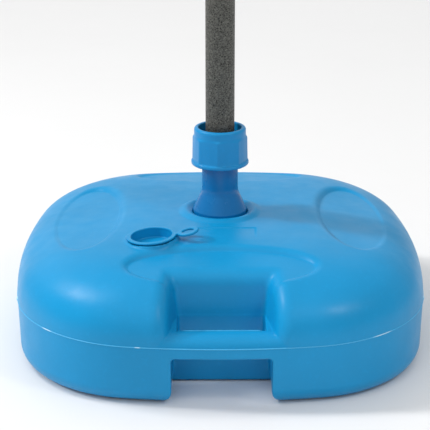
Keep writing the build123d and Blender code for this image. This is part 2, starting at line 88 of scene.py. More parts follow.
RECESS_DISTANCE = 147.5
RECESS_LENGTH_HALF = 96.0
RECESS_WIDTH_HALF = 34.5
RECESS_FLOOR = 121.1
RECESS_TILT = math.radians(7.3)
RECESS_SLOPE = 19.0 / 16.0
RECESS_CREASE = 0.9
RECESS_EDGE = 4.0

GRIP_TOP = 76.0
GRIP_BOTTOM = 53.0
GRIP_BACK = -203.0
HANDLE_WALL = -164.0
HANDLE_DRAFT = math.tan(math.radians(7.0))
POCKET_HALF = 44.8
POCKET_SPREAD = 0.17
POCKET_SIDE_DRAFT = math.tan(math.radians(9.0))
POCKET_CORNER = 6.0
POCKET_EDGE = 15.0
NOTCH_HALF = 50.5
NOTCH_CORNER = 5.0
NOTCH_EDGE = 2.6
NOTCH_FLARE = 12.5
NOTCH_FLARE_RISE = 16.0
SHAFT_EDGE = 1.6

COLUMN_BORE = 21.0
COUNTERBORE = 31.6
COUNTERBORE_LIP = 0.9
COUNTERBORE_LIP_FOOT = 127.0
NUT_RECESS = 40.0
NUT_RECESS_CEILING = box_mm("neck_bottom_seal")[1][2]
RING_CREST = 38.5
RING_HEIGHT = 3.4
RING_REACH = 8.5
COLUMN_EDGE = 0.9

PANEL_HALF = 38.7
PANEL_BACK = -56.0
PANEL_FRONT = -90.0
PANEL_DEPTH = 0.8
PANEL_EDGE = 1.2

SEAT_GAP = 0.9
SEAT = 27.4
SEAT_DEPTH = 9.0
SEAT_FOOT = 4.0
PLUG_CENTRE = (-73.3, -90.2, 135.9)
PLUG_TILT = math.radians(4.5)
FILL_HOLE = 24.6
FILL_HOLE_DEPTH = 9.5
PLUG_RIM = 26.6
PLUG_SKIRT = 23.7
PLUG_INSIDE = 22.1
PLUG_RIM_THICK = 2.2
PLUG_DEPTH = 13.0
PLUG_FLOOR = 1.8
RING_ROOT = 25.6
RING_LIFT = math.radians(8.0)
RING_CENTRE = 13.4
RING_OUTSIDE = 11.5
RING_INSIDE = 6.3
RING_THICK = 2.8
STRAP_HALF = 3.2
STRAP_WAIST = 0.8
STRAP_LENGTH = 5.5

COLLAR_LOW, COLLAR_HIGH = box_mm("locking_collar")
COLLAR_BOTTOM, COLLAR_TOP = COLLAR_LOW[2], COLLAR_HIGH[2]
COLLAR_BODY = 28.6
COLLAR_LIP_ROUND = 3.6
COLLAR_FACETS = 8
COLLAR_FACET_TURN = math.radians(-4.0)
COLLAR_FACET_TOP = 219.0
COLLAR_FACET_RADIUS = 30.6
COLLAR_FACET_GAIN = 0.7
COLLAR_RIM = COLLAR_HIGH[0]
COLLAR_RIM_TOP = COLLAR_BOTTOM + 4.0
COLLAR_MOUTH = 23.6
COLLAR_MOUTH_FLOOR = 215.5
COLLAR_THROAT = 17.6
COLLAR_THROAT_FOOT = 210.0
COLLAR_TAPER = 23.0
COLLAR_TAPER_START = 200.0
COLLAR_TAPER_FOOT = 202.3
COLLAR_TAPER_TOP = 213.5
COLLAR_TAPER_SLOPE = 0.33
COLLAR_THREAD = 23.5
COLLAR_SEAT = 19.8
COLLAR_SEAT_FOOT = 211.0

EYE_LOW, EYE_HIGH = box_mm("swivel_eye")
HUB_RADIUS = 9.0
EYE_RADIUS = 10.5
EYE_REACH = EYE_HIGH[0] - EYE_RADIUS
EYE_HOLE = 5.0
EYE_THICK = 6.0
ARM_HALF = 4.5
PIVOT_HOLE = 3.05

TANK_PITCH = 2.2
HOLLOW_PITCH = 5.0
PLUG_PITCH = 0.7
COLLAR_PITCH = 0.7
EYE_PITCH = 0.6

GRIP_FLASH_INSET = 4.0
BEAD_HEIGHT_HALF = 0.55
BEAD_ROOT = 1.5
BEAD_STEPS = 900
# Trimmed flash on the parting line: direction and half length in degrees round the pole, growth of the bead
FLASH_MARKS = (
    (-156.4, 0.8, 1.5),
    (-135.3, 1.3, 0.0),
    (-110.8, 0.5, 0.0),
    (-49.2, 2.2, 0.0),
    (-23.6, 0.8, 1.5),
)

TUBE = 15.9
TUBE_INSIDE = 14.7
SWAGE = 14.62
SWAGE_INSIDE = 13.42
SWAGE_LENGTH = 60.0
SWAGE_STEP = 3.0

NECK_TUBE = 20.0
NECK_BORE = 16.2
NECK_DRAIN = 10.0
NECK_STOP = 20.0
NECK_THREAD = 23.4
NECK_THREAD_FOOT = 188.5
COLLET_SEAT = 19.9
COLLET_SEAT_FLOOR = 192.0
FLANGE_BOTTOM = 126.6
FLANGE_TOP = 134.6
CONE_TOP = 156.0
CONE_CURVE = 22.0

CAP_INSIDE = 11.5
CAP_SKIRT = 14.65
CAP_RIM = 17.2
CAP_CROWN = 9.0
CAP_SKIRT_LENGTH = 18.0
CAP_RIM_HEIGHT = 5.0


# ---- Meshes from formulas ----


def blend_max(a, b, reach):
    """Larger of two distances, with the edge between them rounded over a reach."""
    gap = np.maximum(reach - np.abs(a - b), 0)
    return np.maximum(a, b) + gap * gap / (4 * reach)


def blend_min(a, b, reach):
    """Smaller of two distances, with the corner between them rounded over a reach."""
    return -blend_max(-a, -b, reach)


def smooth_step(value):
    """0 below 0, 1 above 1 and a smooth rise between."""
    t = np.clip(value, 0, 1)
    return t * t * (3 - 2 * t)


def slope_at(shape, points, step=0.05):
    """Gradient of a shape function at each point."""
    slope = np.empty_like(points)
    for axis in range(3):
        ahead, behind = points.copy(), points.copy()
        ahead[:, axis] += step
        behind[:, axis] -= step
        slope[:, axis] = (shape(*ahead.T) - shape(*behind.T)) / (2 * step)
    return slope


def settle(shape, points, pitch, rounds=5):
    """Points moved on to the surface of a shape, and the outward directions there."""
    for _ in range(rounds):
        slope = slope_at(shape, points)
        steep = np.maximum((slope**2).sum(1), TINY)
        move = slope * (shape(*points.T) / steep)[:, None]
        length = np.linalg.norm(move, axis=1)[:, None]
        points = points - move * np.minimum(1, pitch / 3 / np.maximum(length, TINY))
    slope = slope_at(shape, points)
    return points, slope / np.maximum(np.linalg.norm(slope, axis=1), TINY)[:, None]


def surface_net(shape, low, high, pitch):
    """Closed quad mesh of a shape's surface: points, outward directions and faces."""
    axes = [np.arange(a - pitch, b + 2 * pitch, pitch) for a, b in zip(low, high)]
    xs, ys = np.meshgrid(axes[0], axes[1], indexing="ij")
    layers = [shape(xs, ys, np.full_like(xs, z)) for z in axes[2]]
    field = np.stack(layers, 2).astype(np.float32)
    inside = field < 0
    cells = [n - 1 for n in field.shape]
    filled = np.zeros(cells, np.int8)
    for i in (0, 1):
        for j in (0, 1):
            for k in (0, 1):
                filled += inside[i : i + cells[0], j : j + cells[1], k : k + cells[2]]
    mixed = (filled > 0) & (filled < 8)
    count = int(mixed.sum())
    number = np.full(cells, -1)
    number[mixed] = np.arange(count)
    sums, hits, faces = np.zeros((count, 3)), np.zeros(count), []
    for axis in range(3):
        near = np.take(field, range(field.shape[axis] - 1), axis)
        far = np.take(field, range(1, field.shape[axis]), axis)
        edges = np.argwhere((near < 0) != (far < 0))
        start, end = near[tuple(edges.T)], far[tuple(edges.T)]
        crossing = edges.astype(float)
        crossing[:, axis] += start / (start - end)
        u, v = (axis + 1) % 3, (axis + 2) % 3
        around = []
        for du, dv in ((0, 0), (-1, 0), (-1, -1), (0, -1)):
            cell = edges.copy()
            cell[:, u] += du
            cell[:, v] += dv
            index = number[tuple(cell.T)]
            around.append(index)
            hits += np.bincount(index, minlength=count)
            for k in range(3):
                sums[:, k] += np.bincount(index, crossing[:, k], count)
        around = np.stack(around, 1)
        around[start >= 0] = around[start >= 0][:, ::-1]
        faces.append(around)
    corner = np.array([a[0] for a in axes])
    points = corner + sums / hits[:, None] * pitch
    points, directions = settle(shape, points, pitch)
    return points, directions, np.concatenate(faces)


def new_mesh(name, points, faces, directions=None):
    """Mesh object in metres from points in millimetres, smooth-shaded."""
    mesh = bpy.data.meshes.new(name)
    mesh.from_pydata((np.asarray(points) * MM).tolist(), [], np.asarray(faces).tolist())
    mesh.update()
    mesh.polygons.foreach_set("use_smooth", [True] * len(mesh.polygons))
    if directions is not None:
        mesh.normals_split_custom_set_from_vertices(directions.tolist())
    made = bpy.data.objects.new(name, mesh)
    bpy.context.scene.collection.objects.link(made)
    return made


def moulded(name, shape, low, high, pitch):
    """Mesh object of a shape function inside a box."""
    points, directions, faces = surface_net(shape, low, high, pitch)
    return new_mesh(name, points, faces, directions)


def round_corners(corners, steps=6):
    """Points and outward directions of a closed outline, from corners of (radius, height, corner radius)."""
    points, directions = [], []
    corners = [np.array(c, float) for c in corners]
    for before, here, after in zip(corners[-1:] + corners[:-1], corners, corners[1:] + corners[:1]):
        inward = (here - before)[:2] / np.linalg.norm((here - before)[:2])
        onward = (after - here)[:2] / np.linalg.norm((after - here)[:2])
        cross = inward[0] * onward[1] - inward[1] * onward[0]
        turn = math.atan2(cross, float(inward @ onward))
        setback = here[2] * math.tan(abs(turn) / 2)
        start = here[:2] - inward * setback
        outward = np.array([inward[1], -inward[0]])
        centre = start - outward * here[2] * math.copysign(1, turn)
        for step in range(steps + 1):
            angle = turn * step / steps
            c, s = math.cos(angle), math.sin(angle)
            direction = np.array([outward[0] * c - outward[1] * s, outward[0] * s + outward[1] * c])
            points.append(centre + direction * here[2] * math.copysign(1, turn))
            directions.append(direction)
    return np.array(points), np.array(directions)


def lathe(name, corners, segments=128):
    """Turned piece on the pole's axis from an outline of (radius, height, corner radius), anticlockwise."""
    outline, normals = round_corners(corners)
    count = len(outline)
    points, directions, faces = [], [], []
    for step in range(segments):
        angle = 2 * math.pi * step / segments
        c, s = math.cos(angle), math.sin(angle)
        points.append(np.stack([outline[:, 0] * c, outline[:, 0] * s, outline[:, 1]], 1))
        directions.append(np.stack([normals[:, 0] * c, normals[:, 0] * s, normals[:, 1]], 1))
        after = (step + 1) % segments
        for k in range(count):
            n = (k + 1) % count
            faces.append((step * count + k, after * count + k, after * count + n, step * count + n))
    return new_mesh(name, np.concatenate(points), faces, np.concatenate(directions))


def sweep(name, path, outward, section, sizes, closed):
    """Strip along a level path, with a section of (outward, up) points that grows and shrinks by sizes."""
    count, around = len(path), len(section)
    points = []
    for place, direction, size in zip(path, outward, sizes):
        for out, up in section:
            points.append(place + direction * out * size + np.array([0, 0, up * size]))
    faces = []
    for i in range(count if closed else count - 1):
        for k in range(around):
            j, n = (i + 1) % count, (k + 1) % around
            faces.append((i * around + k, j * around + k, j * around + n, i * around + n))
    if not closed:
        faces.append(tuple(range(around - 1, -1, -1)))
        faces.append(tuple(range((count - 1) * around, count * around)))
    mesh = bpy.data.meshes.new(name)
    mesh.from_pydata((np.array(points) * MM).tolist(), [], faces)
    mesh.polygons.foreach_set("use_smooth", [True] * len(mesh.polygons))
    made = bpy.data.objects.new(name, mesh)
    bpy.context.scene.collection.objects.link(made)
    return made


def bake_modifiers(piece):
    """Replaces a piece's mesh by the one its modifiers give."""
    bpy.context.view_layer.update()
    result = bpy.data.meshes.new_from_object(piece.evaluated_get(bpy.context.evaluated_depsgraph_get()))
    piece.modifiers.clear()
    piece.data = result


# ---- Base ----


def rounded_square(x, y, half, bow, rounding):
    """Distance to a rounded square of tangent arcs, whose radii are shares of its half width."""
    side_radius = half * bow
    corner_radius = half * rounding
    side_centre = half - side_radius
    spread = side_radius - corner_radius
    corner_centre = (side_centre + np.sqrt(2 * spread**2 - side_centre**2)) / 2
    far = np.maximum(np.abs(x), np.abs(y))
    near = np.minimum(np.abs(x), np.abs(y))
    to_side = np.hypot(far - side_centre, near) - side_radius
    to_corner = np.hypot(far - corner_centre, near - corner_centre) - corner_radius
    past_side = near * (corner_centre - side_centre) > corner_centre * (far - side_centre)
    return np.where(past_side, to_corner, to_side)


def shoulder_inset(x, y):
    """How far in from the outline a plan point lies: 0 on the outline and 1 on the crown."""
    inset = np.zeros_like(x)
    for _ in range(INSET_ROUNDS):
        half = BASE_HALF - SHOULDER_INSET * inset
        bow = SIDE_BOW + SIDE_BOW_GAIN * inset
        out = rounded_square(x, y, half, bow, CORNER_ROUND - CORNER_ROUND_LOSS * inset)
        inset = np.clip(inset - out / SHOULDER_INSET, -0.3, 1)
    return inset


def tank_form(x, y, z):
    """The base without its recesses."""
    across = 1 - shoulder_inset(x, y)
    up = np.maximum((z - PARTING_HEIGHT) / SHOULDER_RISE, 0)
    power = SHOULDER_POWER
    reach = np.maximum((across**power + up**power) ** (1 / power), TINY)
    steep = np.hypot(across ** (power - 1) / SHOULDER_INSET, up ** (power - 1) / SHOULDER_RISE)
    shoulder = (reach - 1) / np.maximum(steep / reach ** (power - 1), TINY)
    taper = np.clip((z - BOTTOM_RADIUS) / (PARTING_HEIGHT - BOTTOM_RADIUS), 0, 1)
    half = FOOT_HALF + (BASE_HALF - FOOT_HALF) * taper
    bow = FOOT_BOW + (SIDE_BOW - FOOT_BOW) * taper
    out = rounded_square(x, y, half, bow, FOOT_ROUND + (CORNER_ROUND - FOOT_ROUND) * taper) + BOTTOM_RADIUS
    down = BOTTOM_RADIUS - z
    wall = np.hypot(np.maximum(out, 0), np.maximum(down, 0)) + np.minimum(np.maximum(out, down), 0)
    return np.where(z > PARTING_HEIGHT, shoulder, wall - BOTTOM_RADIUS)


def recess_space(x, y, z):
    """The four shallow oval recesses in the top."""
    out = np.maximum(np.abs(x), np.abs(y)) - RECESS_DISTANCE
    along = np.minimum(np.abs(x), np.abs(y))
    rise = z - RECESS_FLOOR
    height = out * math.sin(RECESS_TILT) + rise * math.cos(RECESS_TILT)
    across = out * math.cos(RECESS_TILT) - rise * math.sin(RECESS_TILT)
    grow = RECESS_SLOPE * np.maximum(height, -RECESS_EDGE)
    a, b = RECESS_LENGTH_HALF + grow, RECESS_WIDTH_HALF + grow
    ratio = np.hypot(along / a, across / b)
    steep = np.maximum(np.hypot(along / a**2, across / b**2), TINY)
    wall = ratio * (ratio - 1) / steep / math.hypot(1, RECESS_SLOPE)
    return blend_max(wall, -height, RECESS_CREASE)


def handle_space(x, y, z):
    """The hand pocket, the finger gap behind the grip bar and the notch below it, as three spaces."""
    above = np.maximum(z - GRIP_TOP, 0)
    side = np.abs(x) - POCKET_HALF - above * POCKET_SIDE_DRAFT + (y - HANDLE_WALL) * POCKET_SPREAD
    pocket = blend_max(side, y - HANDLE_WALL - above * HANDLE_DRAFT, POCKET_CORNER)
    pocket = blend_max(pocket, GRIP_TOP - z, SHAFT_EDGE)
    shaft = blend_max(np.abs(x) - POCKET_HALF, y - HANDLE_WALL, POCKET_CORNER)
    shaft = blend_max(shaft, GRIP_BACK - y, SHAFT_EDGE)
    shaft = np.maximum(shaft, np.maximum(GRIP_BOTTOM - POCKET_CORNER - z, z - GRIP_TOP - POCKET_CORNER))
    near_ground = np.clip(1 - z / NOTCH_FLARE_RISE, 0, 1)
    flare = NOTCH_FLARE * (1 - np.sqrt(1 - near_ground**2))
    notch = blend_max(np.abs(x) - NOTCH_HALF - flare, z - GRIP_BOTTOM, NOTCH_CORNER)
    notch = blend_max(notch, y - HANDLE_WALL, NOTCH_CORNER)
    return pocket, shaft, notch


def column_space(x, y, z):
    """The centre column's counterbore, bore and nut recess."""
    radius = np.hypot(x, y)
    lip = COUNTERBORE_LIP * smooth_step((z - COUNTERBORE_LIP_FOOT) / 2)
    top = np.maximum(radius - COUNTERBORE + lip, COUNTERBORE_FLOOR - z)
    bottom = np.maximum(radius - NUT_RECESS, z - NUT_RECESS_CEILING)
    return np.minimum(np.minimum(top, bottom), radius - COLUMN_BORE)


def top_relief(x, y):
    """Height added to the top: the raised ring round the neck, less the blank panel's depth."""
    from_crest = (np.hypot(x, y) - RING_CREST) / RING_REACH
    ring = RING_HEIGHT * np.clip(1 - from_crest**2, 0, 1) ** 2
    inside = smooth_step((PANEL_HALF - np.abs(x)) / PANEL_EDGE)
    back = smooth_step((PANEL_BACK - y) / PANEL_EDGE)
    fade = np.clip((y - PANEL_FRONT) / (PANEL_BACK - PANEL_FRONT), 0, 1)
    return ring - PANEL_DEPTH * inside * back * fade


def plug_frame(x, y, z):
    """Coordinates across the tilted plug, along it and up its axis, from the middle of its rim's top."""
    dx, dz = x - PLUG_CENTRE[0], z - PLUG_CENTRE[2]
    across = dx * math.cos(PLUG_TILT) + dz * math.sin(PLUG_TILT)
    return across, y - PLUG_CENTRE[1], dz * math.cos(PLUG_TILT) - dx * math.sin(PLUG_TILT)


def fill_hole_space(x, y, z):
    """The fill hole, square to the plug's axis and open at its top."""
    across, along, up = plug_frame(x, y, z)
    return np.maximum(np.hypot(across, along) - FILL_HOLE, -FILL_HOLE_DEPTH - up)


def plug_seat(x, y, z):
    """The boss under the plug's rim."""
    across, along, up = plug_frame(x, y, z)
    depth = up + PLUG_RIM_THICK + SEAT_GAP
    return blend_max(np.maximum(np.hypot(across, along) - SEAT, -SEAT_DEPTH - depth), depth, 0.8)


def tank_hull(x, y, z):
    """The base with its recesses, handle and column."""
    hull = tank_form(x, y, z - top_relief(x, y))
    hull = blend_max(hull, -recess_space(x, y, z), RECESS_EDGE)
    hull = blend_min(hull, plug_seat(x, y, z), SEAT_FOOT)
    pocket, shaft, notch = handle_space(x, y, z)
    hull = blend_max(hull, -pocket, POCKET_EDGE)
    hull = blend_max(hull, -notch, NOTCH_EDGE)
    hull = blend_max(hull, -shaft, SHAFT_EDGE)
    return blend_max(hull, -column_space(x, y, z), COLUMN_EDGE)


def tank_outside(x, y, z):
    """The base's outer surface, with its feet and its fill hole."""
    gap = np.maximum(np.minimum(np.abs(x), np.abs(y)) - FOOT_GAP_HALF, z - FOOT_STEP)
    return blend_max(np.maximum(tank_hull(x, y, z), -gap), -fill_hole_space(x, y, z), 1)


def tank_inside(x, y, z):
    """The hollow of the base."""
    return np.maximum(tank_hull(x, y, z) + WALL, WALL + FOOT_STEP - z)


def make_tank():
    """The blow-moulded base: a closed wall round a hollow, open at the fill hole."""
    low, high = (-BASE_HALF, -BASE_HALF, 0), (BASE_HALF, BASE_HALF, TANK_TOP + RING_HEIGHT)
    tank = moulded("tank_skin", tank_outside, low, high, TANK_PITCH)
    hollow = moulded("hollow", tank_inside, low, high, HOLLOW_PITCH)
    cut = tank.modifiers.new("hollow", "BOOLEAN")
    cut.operation = "DIFFERENCE"
    cut.solver = "MANIFOLD"
    cut.object = hollow
    bake_modifiers(tank)
    bpy.data.objects.remove(hollow)
    return tank


def make_parting_bead():
    """The fine ridge where the halves of the mould met, a little prouder where its flash was trimmed."""
    angles = np.linspace(0, 2 * math.pi, BEAD_STEPS, endpoint=False)
    outward = np.stack([np.cos(angles), np.sin(angles), 0 * angles], 1)
    reach = np.full(BEAD_STEPS, BASE_HALF)
    for _ in range(INSET_ROUNDS):
        reach -= rounded_square(*(outward[:, :2].T * reach), BASE_HALF, SIDE_BOW, CORNER_ROUND)
    path = outward * reach[:, None] + np.array([0, 0, PARTING_HEIGHT])
    marks, sizes = np.zeros(BEAD_STEPS), np.ones(BEAD_STEPS)
    for direction, half, growth in FLASH_MARKS:
        away = np.degrees(np.abs((angles - math.radians(direction) + math.pi) % (2 * math.pi) - math.pi))
        mark = smooth_step(1.6 - away / half)
        marks, sizes = np.maximum(marks, mark), sizes + growth * mark
    out, tall = PARTING_BEAD, BEAD_HEIGHT_HALF
    below = [(-BEAD_ROOT, -tall), (0, -tall), (out * 0.8, -tall / 2)]
    section = below + [(out, 0)] + [(u, -v) for u, v in reversed(below)]
    bead = sweep("parting_bead", path, outward, section, sizes, True)
    layer = bead.data.attributes.new("mark", "FLOAT", "POINT")
    layer.data.foreach_set("value", np.repeat(marks, len(section)).astype(np.float32))
    return bead


def make_grip_flash():
    """The ragged sliver of flash left on the grip bar's inner edge."""
    random = np.random.default_rng(7)
    steps = 120
    half = POCKET_HALF - GRIP_FLASH_INSET
    across = np.linspace(-half, half, steps)
    path = np.stack([across, np.full(steps, GRIP_BACK), np.full(steps, GRIP_TOP)], 1)
    inward = np.tile([0.0, 1.0, 0.0], (steps, 1))
    rough = np.convolve(random.uniform(0.2, 1, steps + 4), np.ones(5) / 5, "valid")
    sizes = rough * smooth_step(np.minimum(across - across[0], across[-1] - across) / 6 + 0.1)
    section = [(-1.0, -0.6), (-1.0, -0.1), (0.45, 0.35), (0.6, 0.1), (-0.2, -0.6)]
    return sweep("grip_flash", path, inward, section, sizes, False)


def band(u, v, low, high, edge):
    """Distance to a rectangle from (u, v) low to high, with its corners rounded."""
    du = np.abs(u - (low[0] + high[0]) / 2) - (high[0] - low[0]) / 2 + edge
    dv = np.abs(v - (low[1] + high[1]) / 2) - (high[1] - low[1]) / 2 + edge
    return np.hypot(np.maximum(du, 0), np.maximum(dv, 0)) + np.minimum(np.maximum(du, dv), 0) - edge


def plug_form(x, y, z):
    """Hollow plug with its rim, strap and pull ring."""
    across, along, up = plug_frame(x, y, z)
    radius = np.hypot(across, along)
    rim = band(radius, up, (PLUG_INSIDE, -PLUG_RIM_THICK), (PLUG_RIM, 0), 1.0)
    skirt = band(radius, up, (PLUG_INSIDE, -PLUG_DEPTH), (PLUG_SKIRT, 0), 0.7)
    floor = band(radius, up, (-PLUG_SKIRT, -PLUG_DEPTH), (PLUG_SKIRT, PLUG_FLOOR - PLUG_DEPTH), 0.8)
    cup = blend_min(blend_min(skirt, rim, 0.8), floor, 1.2)
    from_root = across - RING_ROOT
    out = from_root * math.cos(RING_LIFT) + up * math.sin(RING_LIFT)
    lift = up * math.cos(RING_LIFT) - from_root * math.sin(RING_LIFT)
    from_ring = np.hypot(out - RING_CENTRE, along)
    ring = band(from_ring, lift, (RING_INSIDE, -RING_THICK), (RING_OUTSIDE, 0), 1.1)
    waist = STRAP_HALF - STRAP_WAIST * smooth_step(out / 2) * smooth_step((6 - out) / 2)
    strap = band(out, lift, (-0.5, -RING_THICK), (STRAP_LENGTH, -0.3), 0.7)
    strap = blend_max(strap, np.abs(along) - waist, 1.0)
    return blend_min(blend_min(cup, strap, 1.5), ring, 1.5)


def collar_form(x, y, z):
    """Locking collar: eight soft facets between a rim and a round lip, with a stepped bore."""
    radius = np.hypot(x, y)
    step = 2 * math.pi / COLLAR_FACETS
    angle = np.abs((np.arctan2(y, x) - COLLAR_FACET_TURN) % step - step / 2)
    drop = np.clip((COLLAR_FACET_TOP - z) / (COLLAR_FACET_TOP - COLLAR_BOTTOM), 0, 1)
    flat = (COLLAR_FACET_RADIUS + COLLAR_FACET_GAIN * drop) * math.cos(step / 2)
    facets = blend_max(radius * np.cos(angle), radius * np.cos(step - angle), 1.6) - flat
    facets = blend_max(facets, z - COLLAR_FACET_TOP, 2.4)
    facets = np.maximum(facets, COLLAR_BOTTOM + 1 - z)
    body = blend_max(radius - COLLAR_BODY, z - COLLAR_TOP, COLLAR_LIP_ROUND)
    body = np.maximum(body, COLLAR_BOTTOM + 1 - z)
    rim = band(radius, z, (-COLLAR_RIM, COLLAR_BOTTOM), (COLLAR_RIM, COLLAR_RIM_TOP), 1.2)
    outside = blend_min(blend_min(facets, body, 2.0), rim, 1.6)
    mouth = blend_max(radius - COLLAR_MOUTH, COLLAR_MOUTH_FLOOR - z, 1.2)
    throat = np.maximum(radius - COLLAR_THROAT, COLLAR_THROAT_FOOT - z)
    taper = (radius - COLLAR_TAPER + (z - COLLAR_TAPER_FOOT) * COLLAR_TAPER_SLOPE) * 0.95
    taper = np.maximum(np.maximum(taper, z - COLLAR_TAPER_TOP), radius - COLLAR_TAPER)
    taper = np.maximum(taper, COLLAR_TAPER_START - z)
    thread = np.maximum(radius - COLLAR_THREAD, z - COLLAR_TAPER_FOOT)
    seat = np.maximum(np.maximum(radius - COLLAR_SEAT, z - COLLAR_TAPER_TOP), COLLAR_SEAT_FOOT - z)
    bore = np.minimum(np.minimum(np.minimum(mouth, throat), np.minimum(taper, thread)), seat)
    return blend_max(outside, -bore, 1.6)


def eye_form(x, y, z):
    """Swivel eye: a hub on the pivot, an arm and a rounded eye."""
    middle = (EYE_LOW[2] + EYE_HIGH[2]) / 2
    up = z - middle
    half = (EYE_HIGH[2] - EYE_LOW[2]) / 2
    from_pivot, from_eye = np.hypot(x, y), np.hypot(x - EYE_REACH, y)
    hub = band(from_pivot, up, (-HUB_RADIUS, -half), (HUB_RADIUS, half), 0.8)
    ring = band(from_eye, up, (-EYE_RADIUS, -EYE_THICK / 2), (EYE_RADIUS, EYE_THICK / 2), 1.6)
    arm = band(x, up, (0, -EYE_THICK / 2), (EYE_REACH, EYE_THICK / 2), 1.2)
    arm = blend_max(arm, np.abs(y) - ARM_HALF, 2.4)
    eye = blend_min(blend_min(hub, arm, 2.0), ring, 3.0)
    eye = blend_max(eye, PIVOT_HOLE - from_pivot, 0.8)
    return blend_max(eye, EYE_HOLE - from_eye, 2.4)


def make_neck():
    """Neck socket: a threaded tube with a cone that stands on the base."""
    low, high = box_mm("neck_socket")
    foot, flange, top = low[2], high[0], high[2]
    outline = [
        (NECK_DRAIN, foot, 0.6), (NECK_TUBE, foot, 1.0), (NECK_TUBE, FLANGE_BOTTOM, 0.5),
        (flange, FLANGE_BOTTOM, 0.8), (flange, FLANGE_TOP, 0.9), (NECK_TUBE, CONE_TOP, CONE_CURVE),
        (NECK_TUBE, NECK_THREAD_FOOT, 0.5), (NECK_THREAD, NECK_THREAD_FOOT, 0.4), (NECK_THREAD, top, 1.4),
        (COLLET_SEAT, top, 0.5), (COLLET_SEAT, COLLET_SEAT_FLOOR, 0.3), (NECK_BORE, COLLET_SEAT_FLOOR, 0.5),
        (NECK_BORE, NECK_STOP, 0.5), (NECK_DRAIN, NECK_STOP, 0.5),
    ]
    return lathe("neck_skin", outline)


def make_pole(name, node, swaged):
    """One length of steel tube, with its swaged end if another length stands on it."""
    low, high = box_mm(node)
    foot, top = low[2], high[2]
    shoulder = top - SWAGE_LENGTH
    outline = [(TUBE_INSIDE, foot, 0.4), (TUBE, foot, 0.4)]
    if swaged:
        outline += [
            (TUBE, shoulder, 0.8), (SWAGE, shoulder, 0.3), (SWAGE, top, 0.9), (SWAGE_INSIDE, top, 0.25),
            (SWAGE_INSIDE, shoulder - SWAGE_STEP, 0.6), (TUBE_INSIDE, shoulder - SWAGE_STEP, 0.6),
        ]
    else:
        outline += [(TUBE, top, 0.4), (TUBE_INSIDE, top, 0.4)]
    return lathe(name, outline)


def make_top_cap():
    """Moulded cap that closes the pole and carries the swivel."""
    low, high = box_mm("pole_top_cap")
    foot, top = low[2], high[2]
    seat = foot + CAP_SKIRT_LENGTH
    outline = [
        (PIVOT_HOLE, seat, 0.3), (CAP_INSIDE, seat, 1.0), (CAP_INSIDE, foot, 0.6), (CAP_SKIRT, foot, 0.8),
        (CAP_SKIRT, seat, 0.2), (CAP_RIM, seat, 0.6), (CAP_RIM, seat + CAP_RIM_HEIGHT, 1.8),
        (CAP_CROWN, top, 1.5), (PIVOT_HOLE, top, 0.4),
    ]
    return lathe("top_cap_skin", outline)


# ---- Materials ----


def add(tree, kind, inputs=None, **settings):
    """New shader node. Inputs are values or the sockets to link."""
    node = tree.nodes.new("ShaderNode" + kind)
    for key, value in settings.items():
        setattr(node, key, value)
    for key, value in (inputs or {}).items():
        if isinstance(value, bpy.types.NodeSocket):
            tree.links.new(value, node.inputs[key])
        else:
            node.inputs[key].default_value = value
    return node


def noise(tree, scale, detail=2.0, stretch=(1, 1, 1), roughness=0.5):
    """Noise over the piece, with a scale in features per metre."""
    place = add(tree, "TexCoord").outputs["Object"]
    place = add(tree, "Mapping", {"Vector": place, "Scale": stretch}).outputs["Vector"]
    inputs = {"Vector": place, "Scale": scale, "Detail": detail, "Roughness": roughness}
    return add(tree, "TexNoise", inputs).outputs["Fac"]


def remap(tree, value, low, high, start=0.3, end=0.7):
    """A value stretched from start..end to low..high."""
    inputs = {"Value": value, "From Min": start, "From Max": end, "To Min": low, "To Max": high}
    return add(tree, "MapRange", inputs).outputs["Result"]


def mixed(tree, factor, first, second):
    """Colour between two colours."""
    inputs = {0: factor, 6: first, 7: second}
    return add(tree, "Mix", inputs, data_type="RGBA").outputs[2]


def bumped(tree, height, distance, normal=None):
    """Surface direction bumped by a height, with the full height in metres."""
    inputs = {"Height": height, "Distance": distance, "Strength": 1.0}
    if normal is not None:
        inputs["Normal"] = normal
    return add(tree, "Bump", inputs).outputs["Normal"]


def shade(colour, factor):
    """A colour made darker or lighter."""
    return tuple(min(c * factor, 1) for c in colour[:3]) + (1,)


def start_material(name):
    """New material: the material, its node tree and its shader."""
    material = bpy.data.materials.new(name)
    material.use_nodes = True
    return material, material.node_tree, material.node_tree.nodes["Principled BSDF"]


def finish_material(tree, shader, colour, roughness, normal):
    """Links the patterns to the shader."""
    tree.links.new(colour, shader.inputs["Base Color"])
    tree.links.new(roughness, shader.inputs["Roughness"])
    tree.links.new(normal, shader.inputs["Normal"])


def moulded_plastic(name, colour, roughness, grain, wave, gloss=0.3):
    """Moulded plastic: mottled colour, paler edges of rubbed wear and painted highlight, fine grain and the
    slow waves of the moulding.
    """
    material, tree, shader = start_material(name)
    mottle = remap(tree, noise(tree, 9, 3), 0, 1)
    body = mixed(tree, mottle, shade(colour, 0.94), shade(colour, 1.06))
    specks = remap(tree, noise(tree, 260, 2), 0, 0.10, 0.55, 0.75)
    body = mixed(tree, specks, body, shade(colour, 1.5))
    # Paler edges from pointiness: partly rubbed wear, partly a painted highlight.
    edges = add(tree, "NewGeometry").outputs["Pointiness"]
    edge_wear_and_highlight = remap(tree, edges, 0, 0.35, 0.53, 0.62)
    body = mixed(tree, edge_wear_and_highlight, body, shade(colour, 1.35))
    rough = remap(tree, noise(tree, 45, 4), roughness - 0.05, roughness + 0.06)
    shader.inputs["Specular IOR Level"].default_value = gloss
    waves = bumped(tree, noise(tree, 28, 2, (1, 1, 0.6)), wave)
    normal = bumped(tree, noise(tree, 1100, 2), grain, waves)
    finish_material(tree, shader, body, rough, normal)
    return material


